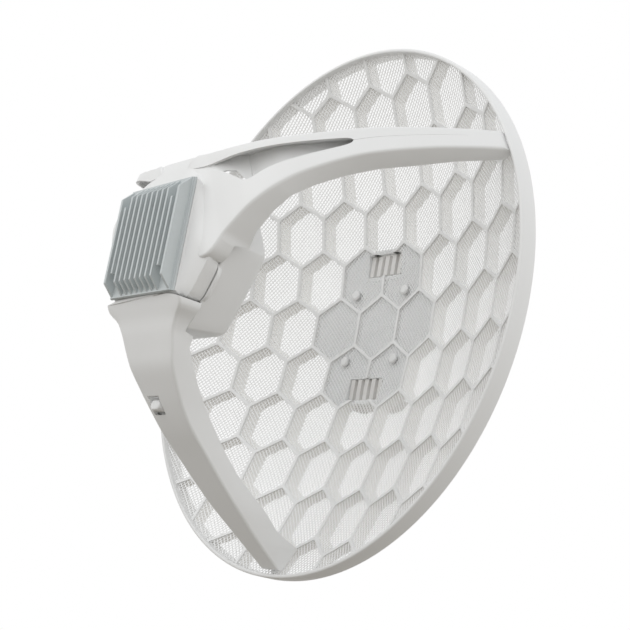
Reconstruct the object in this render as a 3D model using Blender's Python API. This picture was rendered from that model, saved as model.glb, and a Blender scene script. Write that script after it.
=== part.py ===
"""Parabolic grid antenna: honeycomb dish, tripod arms and a radio head at the focus.

Every shape is drawn in the dish's own frame, in millimetres: x to the right, y up and
z along the beam, with z = 0 at the vertex of the paraboloid. One empty turns that frame
so that the dish faces -Y, and the origin is the middle of the mast pad at the back.
"""
import math

import bmesh
import bpy
from mathutils import Vector

MM = 0.001

# Reflector
FOCAL_LENGTH = 165.3
RIM_RADIUS = 195.5
RIM_WALL = 2.8
RIM_FRONT = 60.4
RIM_BACK = 47.5
CELL_SIDE = 25.15
RIB_WIDTH = 2.6
RIB_DEPTH = 9.0
RIB_BEHIND_MESH = 1.0
MESH_RADIUS = 192.0
MESH_THICKNESS = 0.8
PLATE_THICKNESS = 2.6
SECTORS = 96

# Mast saddle at the back
PAD_DEPTH = 10.0
SADDLE_BACK = 15.0
SADDLE_FRONT = 4.4
SADDLE_HALF = (34.0, 62.0)
STUD_AT = (27.0, 26.0)
WINDOW_HALF = (18.3, 8.5)
WINDOW_HEIGHT = 48.0
WINDOW_FIN = 4.2
WINDOW_FIN_PITCH = 7.6
WINDOW_FIN_TOP = 2.0
BAND_SLOT_FRONT = -3.4
BAND_SLOT_HALF = 6.5

# Head
WALL = 2.4
GAP = 0.3
LID_FACES = [(30, 41.0), (90, 60.5), (150, 41.0), (210, 57.0), (270, 38.6), (330, 57.0)]
SHOULDER_FACES = [(30, 56.0), (90, 60.5), (150, 56.0), (210, 57.0), (270, 38.6), (330, 57.0)]
LID_BACK = 183.5
LID_SHOULDER = 193.6
LID_FRONT = 201.5
POD_BACK = 150.0
POD_BACK_FACE = 51.5
POD_FRONT_FACE = 56.0
SINK_HALF = (38.0, 38.3)
SINK_UP = 2.3
SINK_BASE = 2.8
FIN_HEIGHT = 7.6
BOARD_Z = 178.0
FIN_PITCH = 6.3
SHORT_FIN_AT = 28.4
SHORT_FIN_INSET = 14.5
SIDE_WALL_AT = 34.6
SCREW_AT = (28.6, 30.0)

# Arms: distance from the axis, height of the skin, half width
UPPER_ARM = [(41.5, 193.5, 41.6), (50, 193.3, 41.0), (58, 193.0, 37.4), (70, 191.6, 32.4),
             (82, 188.5, 27.6), (98, 181.6, 22.4), (115, 170.2, 17.6), (135, 152.3, 13.4),
             (150, 136.0, 11.4), (170, 105.7, 9.5), (185, 78.2, 8.5), (191.8, 64.0, 8.0)]
UPPER_EDGE = [(41.5, 183.6), (57.4, 183.6), (58.8, 173.0), (70, 175.0), (85, 173.0), (100, 168.0),
              (112, 158.0), (126, 143.5), (140, 126.0), (151, 108.5), (168, 84.0), (183, 58.0),
              (187, 55.0), (191.8, 57.0)]
LOWER_ARM = [(39, 201.6), (42, 199.4), (50, 195.9), (58, 193.4), (68, 189.6), (79, 185.0), (91, 176.6),
             (102, 168.0), (115, 156.0), (128, 141.0), (142, 124.5), (156, 107.0), (171, 86.5),
             (189.5, 60.0)]
LOWER_WIDTH = [(39, 44.0), (42, 43.4), (46, 40.5), (50, 36.0), (58, 31.5), (68, 29.0), (79, 26.0),
               (91, 23.0), (102, 20.5), (115, 18.8), (128, 17.6), (142, 16.2), (156, 14.6),
               (171, 11.6), (189.5, 9.4)]
LOWER_EDGE = [(39, 183.6), (57.4, 183.6), (58.8, 176.5), (66, 176.5), (75, 170.0), (85, 162.5),
              (98, 151.0), (111, 138.0), (123, 126.0), (134, 113.5), (143, 100.0), (154, 82.5),
              (164, 69.5), (169, 58.0), (173, 47.0), (189.5, 55.6)]
ARM_WALL = 2.2
ARM_CORNER = 1.9
WEB = (76, 150)
WEB_LIFT = (0.3, 2.3)
SLOT = [(55.5, 24.8), (64, 23.4), (75, 21.2), (92, 17.1), (117, 10.2), (132, 6.2), (137.5, 4.3),
        (139.5, 1.9), (137.5, -0.4), (115, -1.6), (80, -1.4), (73, 6), (67, 13), (60, 20.5)]

# Cable door in the lower arm
DOOR_TOP = 92.0
DOOR_HINGE = 158.0
DOOR_THICKNESS = 1.8
BARREL = 3.0
LATCH_AT = (101.0, -9.0)
LATCH_HOLE = (5.4, 6.6)
PEG_HALF = (3.4, 5.2)
PEG_FLANGE = 1.2
LATCH_TRAVEL = 2.5

WHITE = (0.80, 0.80, 0.79, 1)
GREY = (0.50, 0.54, 0.55, 1)


def clear_scene():
    for item in list(bpy.data.objects):
        bpy.data.objects.remove(item, do_unlink=True)


def material(name, colour, roughness, metallic=0.0):
    mat = bpy.data.materials.new(name)
    mat.use_nodes = True
    shader = mat.node_tree.nodes["Principled BSDF"]
    shader.inputs["Base Color"].default_value = colour
    shader.inputs["Roughness"].default_value = roughness
    shader.inputs["Metallic"].default_value = metallic
    mat.diffuse_color = colour
    return mat


def add(name, points, faces, parent, look=(WHITE, 0.5, 0.0)):
    """Add one closed body from points in millimetres."""
    mesh = bpy.data.meshes.new(name)
    mesh.from_pydata([Vector(p) * MM for p in points], [], faces)
    bm = bmesh.new()
    bm.from_mesh(mesh)
    bmesh.ops.remove_doubles(bm, verts=bm.verts, dist=0.00001)
    bmesh.ops.recalc_face_normals(bm, faces=bm.faces)
    bm.to_mesh(mesh)
    bm.free()
    body = bpy.data.objects.new(name, mesh)
    bpy.context.scene.collection.objects.link(body)
    body.parent = parent
    if look:
        mesh.materials.append(material(name, *look))
    return body


def loft(rings):
    """Points and faces of a closed body through rings of equal length, capped at both ends."""
    count = len(rings[0])
    points = [p for ring in rings for p in ring]
    faces = []
    for low in range(0, len(points) - count, count):
        for k in range(count):
            side = (k + 1) % count
            faces.append((low + k, low + side, low + count + side, low + count + k))
    faces.append(tuple(range(count)))
    faces.append(tuple(range(len(points) - count, len(points))))
    return points, faces


def prism(outline, low, high):
    return loft([[(x, y, low) for x, y in outline], [(x, y, high) for x, y in outline]])


def block(low, high):
    corners = [(low[0], low[1]), (high[0], low[1]), (high[0], high[1]), (low[0], high[1])]
    return prism(corners, low[2], high[2])


def circle(radius, count, centre=(0, 0)):
    turn = 2 * math.pi / count
    return [(centre[0] + radius * math.cos(k * turn), centre[1] + radius * math.sin(k * turn))
            for k in range(count)]


def rod_along_y(centre, radius, low, high, count=16):
    """A round rod along y; centre is its (x, z)."""
    return loft([[(x, y, z) for x, z in circle(radius, count, centre)] for y in (low, high)])


def rounded(half_x, half_y, radius, steps=5):
    outline = []
    for quarter, (sx, sy) in enumerate(((1, 1), (-1, 1), (-1, -1), (1, -1))):
        for k in range(steps + 1):
            angle = math.radians(90 * (quarter + k / steps))
            outline.append((sx * (half_x - radius) + radius * math.cos(angle),
                            sy * (half_y - radius) + radius * math.sin(angle)))
    return outline


def faceted(faces, z, sharp=26, count=60, centre=(0, 0)):
    """A ring whose flats lie at the given distances and directions, with rounded corners."""
    ring = []
    for k in range(count):
        angle = 2 * math.pi * k / count
        total = 0.0
        for direction, distance in faces:
            lean = math.cos(angle - math.radians(direction))
            if lean > 0:
                total += (lean / distance) ** sharp
        radius = total ** (-1 / sharp)
        ring.append((centre[0] + radius * math.cos(angle), centre[1] + radius * math.sin(angle), z))
    return ring


def hexagon(gap_face, arm_face, z, **options):
    """Flats at gap_face between the arms and at arm_face towards them."""
    flats = [(30 + 60 * k, gap_face if k % 2 else arm_face) for k in range(6)]
    return faceted(flats, z, **options)


def oblong(half, z, up=0.0, **options):
    flats = [(0, half[0]), (90, half[1]), (180, half[0]), (270, half[1])]
    return faceted(flats, z, centre=(0, up), **options)


def cut(body, *tools, operation="DIFFERENCE"):
    """Boolean each tool, a (points, faces) pair, into the body."""
    for k, (points, faces) in enumerate(tools):
        tool = add(f"{body.name}_tool{len(body.modifiers)}", points, faces, body.parent, None)
        tool.rotation_euler = body.rotation_euler
        tool.location = body.location
        tool.hide_render = True
        tool.display_type = "WIRE"
        step = body.modifiers.new(f"cut{k}", "BOOLEAN")
        step.operation = operation
        step.solver = "EXACT"
        step.object = tool
    return body


def bake(body):
    """Make the modifiers' result the body's own mesh."""
    bpy.context.view_layer.update()
    result = bpy.data.meshes.new_from_object(body.evaluated_get(bpy.context.evaluated_depsgraph_get()))
    tools = [step.object for step in body.modifiers]
    body.modifiers.clear()
    body.data = result
    for tool in tools:
        bpy.data.objects.remove(tool, do_unlink=True)


def bend_to_dish(body):
    """Lift every point of a flat body on to the paraboloid."""
    bm = bmesh.new()
    bm.from_mesh(body.data)
    bmesh.ops.triangulate(bm, faces=bm.faces)
    for vert in bm.verts:
        reach = (vert.co.x ** 2 + vert.co.y ** 2) / MM
        vert.co.z += reach / (4 * FOCAL_LENGTH)
    bm.to_mesh(body.data)
    bm.free()


def dish_height(radius):
    return radius ** 2 / (4 * FOCAL_LENGTH)


def curve_at(points, x):
    """Smooth value at x of the curve through (x, y) points, by cubic pieces."""
    last = len(points) - 1
    k = max(0, min(last - 1, sum(1 for p in points if p[0] <= x) - 1))
    low, high = points[k], points[k + 1]
    before, after = points[max(k - 1, 0)], points[min(k + 2, last)]
    span = high[0] - low[0]
    u = (x - low[0]) / span
    rise_low = (high[1] - before[1]) / (high[0] - before[0]) * span
    rise_high = (after[1] - low[1]) / (after[0] - low[0]) * span
    return ((2 * u ** 3 - 3 * u ** 2 + 1) * low[1] + (u ** 3 - 2 * u ** 2 + u) * rise_low
            + (3 * u ** 2 - 2 * u ** 3) * high[1] + (u ** 3 - u ** 2) * rise_high)


def line_at(points, x):
    for low, high in zip(points, points[1:]):
        if x <= high[0]:
            return low[1] + (high[1] - low[1]) * (x - low[0]) / (high[0] - low[0])
    return points[-1][1]


def smooth(body, angle=35):
    body.data.shade_smooth()
    body.data.set_sharp_from_angle(angle=math.radians(angle))
    return body


# Dish

def cell_centres(reach):
    width = math.sqrt(3) * CELL_SIDE
    rows = int(reach / CELL_SIDE) + 1
    centres = [((col + (row % 2) / 2) * width, row * 1.5 * CELL_SIDE)
               for row in range(-rows, rows + 1) for col in range(-rows, rows + 1)]
    return [c for c in centres if math.hypot(*c) < reach]


def cell_corners(centre, radius):
    return [(centre[0] + radius * math.sin(math.radians(60 * k)),
             centre[1] + radius * math.cos(math.radians(60 * k))) for k in range(6)]


def lattice(centres, low, high, hollow=True):
    """Closed body of the ribs round the given cells, or of the cells filled in."""
    bm = bmesh.new()
    inner_radius = CELL_SIDE - RIB_WIDTH / math.sqrt(3)
    for centre in centres:
        outer = [bm.verts.new((x, y, high)) for x, y in cell_corners(centre, CELL_SIDE)]
        if not hollow:
            bm.faces.new(outer)
            continue
        inner = [bm.verts.new((x, y, high)) for x, y in cell_corners(centre, inner_radius)]
        for k in range(6):
            bm.faces.new((outer[k], outer[k - 5], inner[k - 5], inner[k]))
    bmesh.ops.remove_doubles(bm, verts=bm.verts, dist=0.01)
    grown = bmesh.ops.extrude_face_region(bm, geom=bm.faces[:])["geom"]
    for item in grown:
        if isinstance(item, bmesh.types.BMVert):
            item.co.z = low
    bm.verts.index_update()
    points = [tuple(v.co) for v in bm.verts]
    faces = [tuple(v.index for v in f.verts) for f in bm.faces]
    bm.free()
    return points, faces


def rim_ring():
    inner = RIM_RADIUS - RIM_WALL
    lift = dish_height(RIM_RADIUS) - dish_height(inner)
    section = [(inner, RIM_BACK - lift), (RIM_RADIUS, RIM_BACK), (RIM_RADIUS, RIM_FRONT),
               (inner, RIM_FRONT)]
    points, faces = [], []
    for k in range(SECTORS):
        angle = 2 * math.pi * k / SECTORS
        points += [(r * math.cos(angle), r * math.sin(angle), z - dish_height(r)) for r, z in section]
    for k in range(SECTORS):
        here, there = 4 * k, 4 * ((k + 1) % SECTORS)
        faces += [(here + j, here + (j + 1) % 4, there + (j + 1) % 4, there + j) for j in range(4)]
    return points, faces


def windows(grow, low, high):
    half_x, half_y = WINDOW_HALF[0] + grow, WINDOW_HALF[1] + grow
    return [block((-half_x, up - half_y, low), (half_x, up + half_y, high))
            for up in (-WINDOW_HEIGHT, WINDOW_HEIGHT)]


def stud_places():
    return [(sx * STUD_AT[0], sy * STUD_AT[1]) for sy in (1, -1) for sx in (-1, 1)]


def stud_holes(radius, low, high):
    return [prism(circle(radius, 12, place), low, high) for place in stud_places()]


def dish_frame(parent):
    top = -RIB_BEHIND_MESH
    ribs = lattice(cell_centres(RIM_RADIUS + CELL_SIDE), top - RIB_DEPTH, top)
    frame = add("dish_frame", *ribs, parent)
    edge = RIM_RADIUS - RIM_WALL / 2
    cut(frame, prism(circle(edge, SECTORS), -30, 20), operation="INTERSECT")
    cut(frame, prism(rounded(SADDLE_HALF[0] + 1, SADDLE_HALF[1] + 1, 20), -30, top - 2.0))
    cut(frame, rim_ring(), operation="UNION")
    plate_top = top - 0.3
    plate_back = plate_top - PLATE_THICKNESS
    near = cell_centres(2 * CELL_SIDE)
    cut(frame, lattice(near, plate_back, plate_top, hollow=False), operation="UNION")
    half_x, half_y = WINDOW_HALF[0] + 3, WINDOW_HALF[1] + 3
    for up in (-WINDOW_HEIGHT, WINDOW_HEIGHT):
        surround = block((-half_x, up - half_y, plate_back + 0.2), (half_x, up + half_y, plate_top - 0.2))
        cut(frame, surround, operation="UNION")
    cut(frame, *windows(0, -20, 10), *stud_holes(2.6, -20, 10))
    bake(frame)
    bend_to_dish(frame)
    return frame


def reflector_mesh(parent):
    """Perforated metal skin, drawn whole: a thin shell on the paraboloid."""
    half = MESH_THICKNESS / 2
    radii = [MESH_RADIUS * k / 11 for k in range(1, 12)]
    sectors = SECTORS // 2
    rings = [[(x, y, z) for x, y in circle(r, sectors)]
             for z, order in ((half, radii), (-half, radii[::-1])) for r in order]
    skin = add("reflector_mesh", *loft(rings), parent, (GREY, 0.4, 0.6))
    cut(skin, *windows(0.3, -5, 5), *stud_holes(2.7, -5, 5))
    bake(skin)
    bend_to_dish(skin)
    return skin


def mast_saddle(parent):
    """Pad on the mast: V groove and two band channels behind, fins up into the windows."""
    saddle = add("mast_saddle", *prism(rounded(*SADDLE_HALF, 18), -SADDLE_BACK, -SADDLE_FRONT), parent,
                 ((0.62, 0.63, 0.63, 1), 0.55, 0.0))
    groove = [(-15, -SADDLE_BACK - 1), (-5, -PAD_DEPTH), (5, -PAD_DEPTH), (15, -SADDLE_BACK - 1)]
    reach = SADDLE_HALF[1] + 2
    cut(saddle, loft([[(x, y, z) for x, z in groove] for y in (-reach, reach)]))
    fin, side = WINDOW_FIN / 2, SADDLE_HALF[0] + 2
    for up in (-WINDOW_HEIGHT, WINDOW_HEIGHT):
        for k in (-2, -1, 0, 1, 2):
            x = k * WINDOW_FIN_PITCH
            cut(saddle, block((x - fin, up - 8, -7), (x + fin, up + 8, WINDOW_FIN_TOP)), operation="UNION")
        for k in (-1.5, -0.5, 0.5, 1.5):
            x = k * WINDOW_FIN_PITCH
            gap = WINDOW_FIN_PITCH / 2 - fin
            cut(saddle, block((x - gap, up - 8.2, -SADDLE_BACK - 2), (x + gap, up + 8.2, 0)))
        cut(saddle, block((-side, up - BAND_SLOT_HALF, -SADDLE_BACK - 2),
                          (side, up + BAND_SLOT_HALF, BAND_SLOT_FRONT)))
    cut(saddle, *stud_holes(2.6, -12, 0))
    return saddle


def saddle_studs(parent):
    seat = dish_height(math.hypot(*STUD_AT)) + 1.3
    for name, place in zip(("upper_left", "upper_right", "lower_left", "lower_right"), stud_places()):
        profile = [(2.2, -10.0), (2.2, seat), (3.6, seat), (3.6, seat + 1.2), (2.6, seat + 2.0)]
        rings = [[(x, y, z) for x, y in circle(r, 16, place)] for r, z in profile]
        smooth(add(f"saddle_stud_{name}", *loft(rings), parent))


# Arms

def arm_section(r, skin, width, edge):
    """Channel section at distance r: skin on top, a wall down each side."""
    steep = (curve_at(skin, r + 0.5) - curve_at(skin, max(r - 0.5, skin[0][0])))
    stretch = math.hypot(1, steep)
    top, low, half = curve_at(skin, r), edge, width
    inner_top = max(top - ARM_WALL * stretch, low + 0.8)
    corner = min(ARM_CORNER, (top - low) * 0.3 / stretch + 1)
    fall = min(corner * stretch, (top - low) * 0.6)
    inner = half - ARM_WALL
    right = [(half, low)]
    for k in range(5):
        angle = math.radians(90 * k / 4)
        right.append((half - corner * (1 - math.cos(angle)), top - fall * (1 - math.sin(angle))))
    under = [(inner - 2.0, inner_top), (inner, max(inner_top - 2.0 * stretch, low + 0.3)), (inner, low)]
    outer = right + [(-y, z) for y, z in reversed(right)]
    return [(r, y, z) for y, z in outer + [(-y, z) for y, z in reversed(under)] + under]


def arm(name, angle, skin, width, edge, parent):
    places = sorted({p[0] for p in skin} | {p[0] for p in edge})
    rings = [arm_section(r, skin, curve_at(width, r), line_at(edge, r)) for r in places]
    body = add(name, *loft(rings), parent)
    body.rotation_euler.z = math.radians(angle)
    return smooth(body)


def web(skin_width, edge):
    """Plate across the channel at its open side, let a little into both walls."""
    places = [WEB[0]] + [p[0] for p in edge if WEB[0] < p[0] < WEB[1]] + [WEB[1]]
    rings = []
    for r in places:
        half = curve_at(skin_width, r) - ARM_WALL + 0.5
        low, high = (line_at(edge, r) + lift for lift in WEB_LIFT)
        rings.append([(r, -half, low), (r, half, low), (r, half, high), (r, -half, high)])
    return loft(rings)


def arms(parent):
    skin = [(r, z) for r, z, _ in UPPER_ARM]
    width = [(r, w) for r, _, w in UPPER_ARM]
    for name, angle, side in (("arm_right", 30, 1), ("arm_left", 150, -1)):
        limb = arm(name, angle, skin, width, UPPER_EDGE, parent)
        cut(limb, prism([(r, side * t) for r, t in SLOT], 100, 210))
        cut(limb, web(width, UPPER_EDGE), operation="UNION")
    lower = arm("arm_lower", 270, LOWER_ARM, LOWER_WIDTH, LOWER_EDGE, parent)
    r, side = LATCH_AT
    hole = block((r - LATCH_HOLE[0], side - LATCH_HOLE[1], 158.5),
                 (r + LATCH_HOLE[0], side + LATCH_HOLE[1], 190))
    reach = curve_at(LOWER_WIDTH, DOOR_HINGE) - ARM_WALL + 1.4
    cut(lower, hole, rod_along_y(hinge_point(), 1.5, -reach, reach))


def hinge_point():
    """(r, z) of the door's hinge, just inside the open edge of the lower arm."""
    return DOOR_HINGE, line_at(LOWER_EDGE, DOOR_HINGE) + 3.4


def door_empty(parent):
    """Empty on the hinge axis: its own frame is the lower arm's, moved to the hinge."""
    r, z = hinge_point()
    pivot = bpy.data.objects.new("cable_door_hinge", None)
    bpy.context.scene.collection.objects.link(pivot)
    pivot.parent = parent
    pivot.rotation_euler.z = math.radians(270)
    pivot.location = Vector((0, -r, z)) * MM
    return pivot


def from_hinge(points):
    r, z = hinge_point()
    return [(x - r, y, zz - z) for x, y, zz in points]


def cable_door(pivot):
    """Plate closing the lower arm's channel, with a barrel and two pins on the hinge axis."""
    places = [DOOR_TOP] + [p[0] for p in LOWER_EDGE if DOOR_TOP < p[0] < DOOR_HINGE - 6] + [DOOR_HINGE - 1]
    rings = []
    for r in places:
        half = curve_at(LOWER_WIDTH, r) - ARM_WALL - 0.5
        back = line_at(LOWER_EDGE, r) + 0.5
        front = back + DOOR_THICKNESS * 1.6
        rings.append([(r, -half, back), (r, half, back), (r, half, front), (r, -half, front)])
    points, faces = loft(rings)
    door = add("cable_door", from_hinge(points), faces, pivot)
    half = curve_at(LOWER_WIDTH, DOOR_HINGE + BARREL) - ARM_WALL - 0.4
    reach = curve_at(LOWER_WIDTH, DOOR_HINGE) - ARM_WALL + 1.0
    cut(door, rod_along_y((0, 0), BARREL, -half, half), operation="UNION")
    cut(door, rod_along_y((0, 0), 1.15, -reach, reach), operation="UNION")
    return door


def door_latch(pivot):
    """Sprung tongue that stands on the door, with an eight-sided peg that shows in the skin."""
    r, side = LATCH_AT
    door_front = line_at(LOWER_EDGE, r - PEG_HALF[0] - PEG_FLANGE) + 0.5 + DOOR_THICKNESS * 1.6
    seat = door_front + LATCH_TRAVEL + 0.5
    tip = curve_at(LOWER_ARM, r) + 1.6

    def ring(z, grow, scale=1.0):
        (a, b), chamfer = PEG_HALF, 1.8 * scale
        a, b = a * scale + grow, b * scale + grow
        corners = [(a, chamfer - b), (a, b - chamfer), (a - chamfer, b), (chamfer - a, b)]
        return [(r + x, side + y, z) for x, y in corners + [(-x, -y) for x, y in corners]]

    rings = [ring(seat, PEG_FLANGE), ring(seat + 1.6, PEG_FLANGE), ring(seat + 1.6, 0),
             ring(tip - 0.8, 0), ring(tip, 0, 0.8)]
    points, faces = loft(rings)
    return add("door_latch", from_hinge(points), faces, pivot)


def hub(parent):
    """Hexagonal tub that carries the arms; its back wall is the radome in front of the feed."""
    face = POD_FRONT_FACE
    outer = [hexagon(POD_BACK_FACE - 2.5, POD_BACK_FACE - 2.5, POD_BACK),
             hexagon(POD_BACK_FACE, POD_BACK_FACE, POD_BACK + 2.5),
             hexagon(face, face, LID_BACK - GAP)]
    inner = [hexagon(face - WALL, face - WALL, LID_BACK - GAP),
             hexagon(POD_BACK_FACE - WALL, POD_BACK_FACE - WALL, POD_BACK + 4.0),
             hexagon(POD_BACK_FACE - WALL - 2, POD_BACK_FACE - WALL - 2, POD_BACK + WALL)]
    return smooth(add("feed_hub", *loft(outer + inner), parent), 30)


def front_cover(parent):
    """Lid over the electronics: flat sides between the arms, sloping up to the heat sink."""
    inner = [(direction, face - WALL) for direction, face in LID_FACES]
    rise = LID_SHOULDER + 0.6
    rings = [
        oblong((SINK_HALF[0] - 4, SINK_HALF[1] - 4), LID_FRONT - WALL, SINK_UP, sharp=40),
        faceted(inner, rise - 2.2),
        faceted(inner, LID_BACK),
        faceted(LID_FACES, LID_BACK),
        faceted(LID_FACES, rise),
        faceted(SHOULDER_FACES, rise),
        oblong(SINK_HALF, LID_FRONT - 1.2, SINK_UP, sharp=40),
        oblong(SINK_HALF, LID_FRONT, SINK_UP, sharp=40)]
    cover = smooth(add("front_cover", *loft(rings), parent), 30)
    cut(cover, block((-15, -15, 185), (15, 15, 210)))
    cut(cover, block((-9.4, -60, 180), (9.4, -30, 193.4)))
    cut(cover, rod_along_y((15, 186.0), 1.8, -60, -30))
    for x, y in screw_places():
        cut(cover, prism(circle(1.8, 12, (x, y)), LID_FRONT - 6, LID_FRONT + 2))
    return cover


def screw_places():
    return [(sx * SCREW_AT[0], SINK_UP + sy * SCREW_AT[1]) for sy in (1, -1) for sx in (-1, 1)]


def heat_sink(parent):
    """Cast heat sink: stepped base, two side walls, eight long fins and two short square ones."""
    base = LID_FRONT + GAP
    top = base + SINK_BASE
    tip = top + FIN_HEIGHT
    half_x, half_y = SINK_HALF
    low, high = SINK_UP - half_y, SINK_UP + half_y
    sink = add("heat_sink", *block((-half_x, low, base), (half_x, high, base + 1.4)), parent,
               (GREY, 0.45, 0.8))
    cut(sink, block((2 - half_x, low + 0.3, base + 1.0), (half_x - 2, high - 0.3, top)), operation="UNION")

    def fin(x, width, inset, slope):
        start, end = low + inset, high - inset
        outline = [(start, top - 0.5), (end, top - 0.5), (end - slope, tip), (start + slope, tip)]
        return loft([[(x + side, y, z) for y, z in outline] for side in (-width / 2, width / 2)])

    for k in range(8):
        cut(sink, fin((k - 3.5) * FIN_PITCH, 1.8, 0.6, FIN_HEIGHT), operation="UNION")
    for side in (-1, 1):
        cut(sink, fin(side * SIDE_WALL_AT, 2.2, 0.6, FIN_HEIGHT), operation="UNION")
        cut(sink, fin(side * SHORT_FIN_AT, 1.8, SHORT_FIN_INSET, 0), operation="UNION")
    cut(sink, block((-13, -13, BOARD_Z + 7.4), (13, 13, base + 0.5)), operation="UNION")
    for x, y in screw_places():
        cut(sink, prism(circle(1.7, 12, (x, y)), base - 1, top - 0.8))
    return sink


def sink_screws(parent):
    """Screws driven from inside the lid into blind holes in the sink's base."""
    seat = LID_FRONT - WALL - GAP
    end = LID_FRONT + GAP + SINK_BASE - 1.2
    for name, (x, y) in zip(("upper_left", "upper_right", "lower_left", "lower_right"), screw_places()):
        profile = [(1.9, seat - 2.0), (2.6, seat - 1.4), (2.6, seat), (1.4, seat), (1.4, end)]
        rings = [[(px, py, z) for px, py in circle(r, 12, (x, y))] for r, z in profile]
        screw = add(f"sink_screw_{name}", *loft(rings), parent, ((0.6, 0.6, 0.6, 1), 0.3, 1.0))
        socket = prism(circle(1.2, 6, (x, y)), seat - 4, seat - 0.8)
        smooth(cut(screw, socket))


def electronics(parent):
    green = ((0.05, 0.28, 0.12, 1), 0.5, 0.0)
    steel = ((0.62, 0.63, 0.65, 1), 0.3, 1.0)
    board_top = BOARD_Z + 1.6
    add("main_board", *loft([hexagon(52, 37.8, z) for z in (BOARD_Z, board_top)]), parent, green)
    can = block((-15, -12, board_top + GAP), (15, 18, board_top + 3.2))
    add("shield_can", *can, parent, steel)
    pad = block((-12, -10, board_top + 3.5), (12, 12, BOARD_Z + 7.1))
    add("thermal_pad", *pad, parent, ((0.35, 0.45, 0.6, 1), 0.8, 0.0))
    jack = add("ethernet_jack", *block((-8, -38.0, board_top + GAP), (8, -17, board_top + 13.6)), parent, steel)
    cut(jack, block((-6, -45, board_top + 2.6), (6, -24, board_top + 10.8)))
    switch = block((12, -33.0, board_top + GAP), (18, -29, board_top + 9.4))
    add("reset_switch", *switch, parent, ((0.06, 0.06, 0.06, 1), 0.5, 0.0))
    carrier = [hexagon(40, 36, z) for z in (BOARD_Z - GAP, 157.9)]
    bore = [hexagon(37, 33, z) for z in (157.9, BOARD_Z - GAP)]
    ring = add("board_carrier", *loft(carrier), parent, ((0.2, 0.2, 0.21, 1), 0.6, 0.0))
    cut(ring, loft([[(x, y, z + grow) for x, y, z in r] for r, grow in zip(bore, (-5, 5))]))
    add("feed_board", *loft([hexagon(42, 38, z) for z in (156.0, 157.6)]), parent, green)
    patches = block((-16, -16, 154.4), (16, 16, 155.7))
    add("feed_patch", *patches, parent, ((0.7, 0.55, 0.3, 1), 0.3, 1.0))


def reset_button(parent):
    press = bpy.data.objects.new("reset_button_guide", None)
    bpy.context.scene.collection.objects.link(press)
    press.parent = parent
    press.location = Vector((15, -34.2, 186.0)) * MM
    points, faces = rod_along_y((0, 0), 1.4, -7.6, 0)
    return smooth(add("reset_button", points, faces, press, ((0.15, 0.15, 0.15, 1), 0.5, 0.0)))


def main():
    clear_scene()
    beam = bpy.data.objects.new("beam_axis", None)
    bpy.context.scene.collection.objects.link(beam)
    beam.rotation_euler.x = math.radians(90)
    beam.location.y = -PAD_DEPTH * MM
    dish_frame(beam)
    reflector_mesh(beam)
    mast_saddle(beam)
    saddle_studs(beam)
    arms(beam)
    pivot = door_empty(beam)
    cable_door(pivot)
    door_latch(pivot)
    hub(beam)
    front_cover(beam)
    heat_sink(beam)
    sink_screws(beam)
    electronics(beam)
    reset_button(beam)


main()
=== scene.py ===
import math
import bmesh
import bpy
from mathutils import Matrix, Vector


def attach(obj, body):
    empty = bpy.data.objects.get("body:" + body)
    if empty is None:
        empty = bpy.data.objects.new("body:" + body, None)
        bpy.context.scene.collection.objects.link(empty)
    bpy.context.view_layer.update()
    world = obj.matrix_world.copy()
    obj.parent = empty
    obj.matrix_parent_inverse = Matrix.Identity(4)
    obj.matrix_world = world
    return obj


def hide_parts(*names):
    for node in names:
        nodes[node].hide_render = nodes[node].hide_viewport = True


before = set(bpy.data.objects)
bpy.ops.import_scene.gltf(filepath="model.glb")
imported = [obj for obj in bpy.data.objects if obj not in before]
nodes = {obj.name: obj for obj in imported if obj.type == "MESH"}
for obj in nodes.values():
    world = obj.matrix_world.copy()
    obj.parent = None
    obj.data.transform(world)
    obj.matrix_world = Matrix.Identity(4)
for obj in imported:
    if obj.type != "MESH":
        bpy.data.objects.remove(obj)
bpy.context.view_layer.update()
print("frame loaded:", len(nodes), "nodes")

# Sizes are in millimetres on the dish: x right, y up, z along the beam from the dish's vertex.
millimetre = 0.001
padDepth = 10.0        # from the face of the mast saddle to the vertex
weldGap = 0.000005     # in metres, well under the smallest edge


def toRow(point):
    # the same point in the part's own frame, in metres
    x, y, z = point
    return Vector((x, -(z + padDepth), y)) * millimetre


def newPiece(name, points, faces, material, smoothAngle=35):
    mesh = bpy.data.meshes.new(name)
    mesh.from_pydata([toRow(p) for p in points], [], faces)
    bm = bmesh.new()
    bm.from_mesh(mesh)
    bmesh.ops.remove_doubles(bm, verts=bm.verts, dist=weldGap)
    bmesh.ops.recalc_face_normals(bm, faces=bm.faces)
    bm.to_mesh(mesh)
    bm.free()
    piece = bpy.data.objects.new(name, mesh)
    bpy.context.scene.collection.objects.link(piece)
    mesh.materials.append(material)
    smoothShade(piece, smoothAngle)
    return piece


def smoothShade(piece, angle=35):
    piece.data.shade_smooth()
    piece.data.set_sharp_from_angle(angle=math.radians(angle))


def softEdges(piece, width, segments=3, angle=32):
    bevel = piece.modifiers.new("softEdges", "BEVEL")
    bevel.width = width * millimetre
    bevel.segments = segments
    bevel.limit_method = "ANGLE"
    bevel.angle_limit = math.radians(angle)
    bevel.miter_outer = "MITER_ARC"
    return piece


def applied(piece):
    # bake the modifiers into the piece's own mesh
    bpy.context.view_layer.update()
    graph = bpy.context.evaluated_depsgraph_get()
    mesh = bpy.data.meshes.new_from_object(piece.evaluated_get(graph))
    piece.modifiers.clear()
    piece.data = mesh
    return piece


def carve(piece, tools, operation="DIFFERENCE"):
    for points, faces in tools:
        tool = newPiece("tool", points, faces, plastic)
        step = piece.modifiers.new("carve", "BOOLEAN")
        step.operation = operation
        step.solver = "EXACT"
        step.object = tool
        applied(piece)
        bpy.data.objects.remove(tool, do_unlink=True)
    return piece


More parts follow.
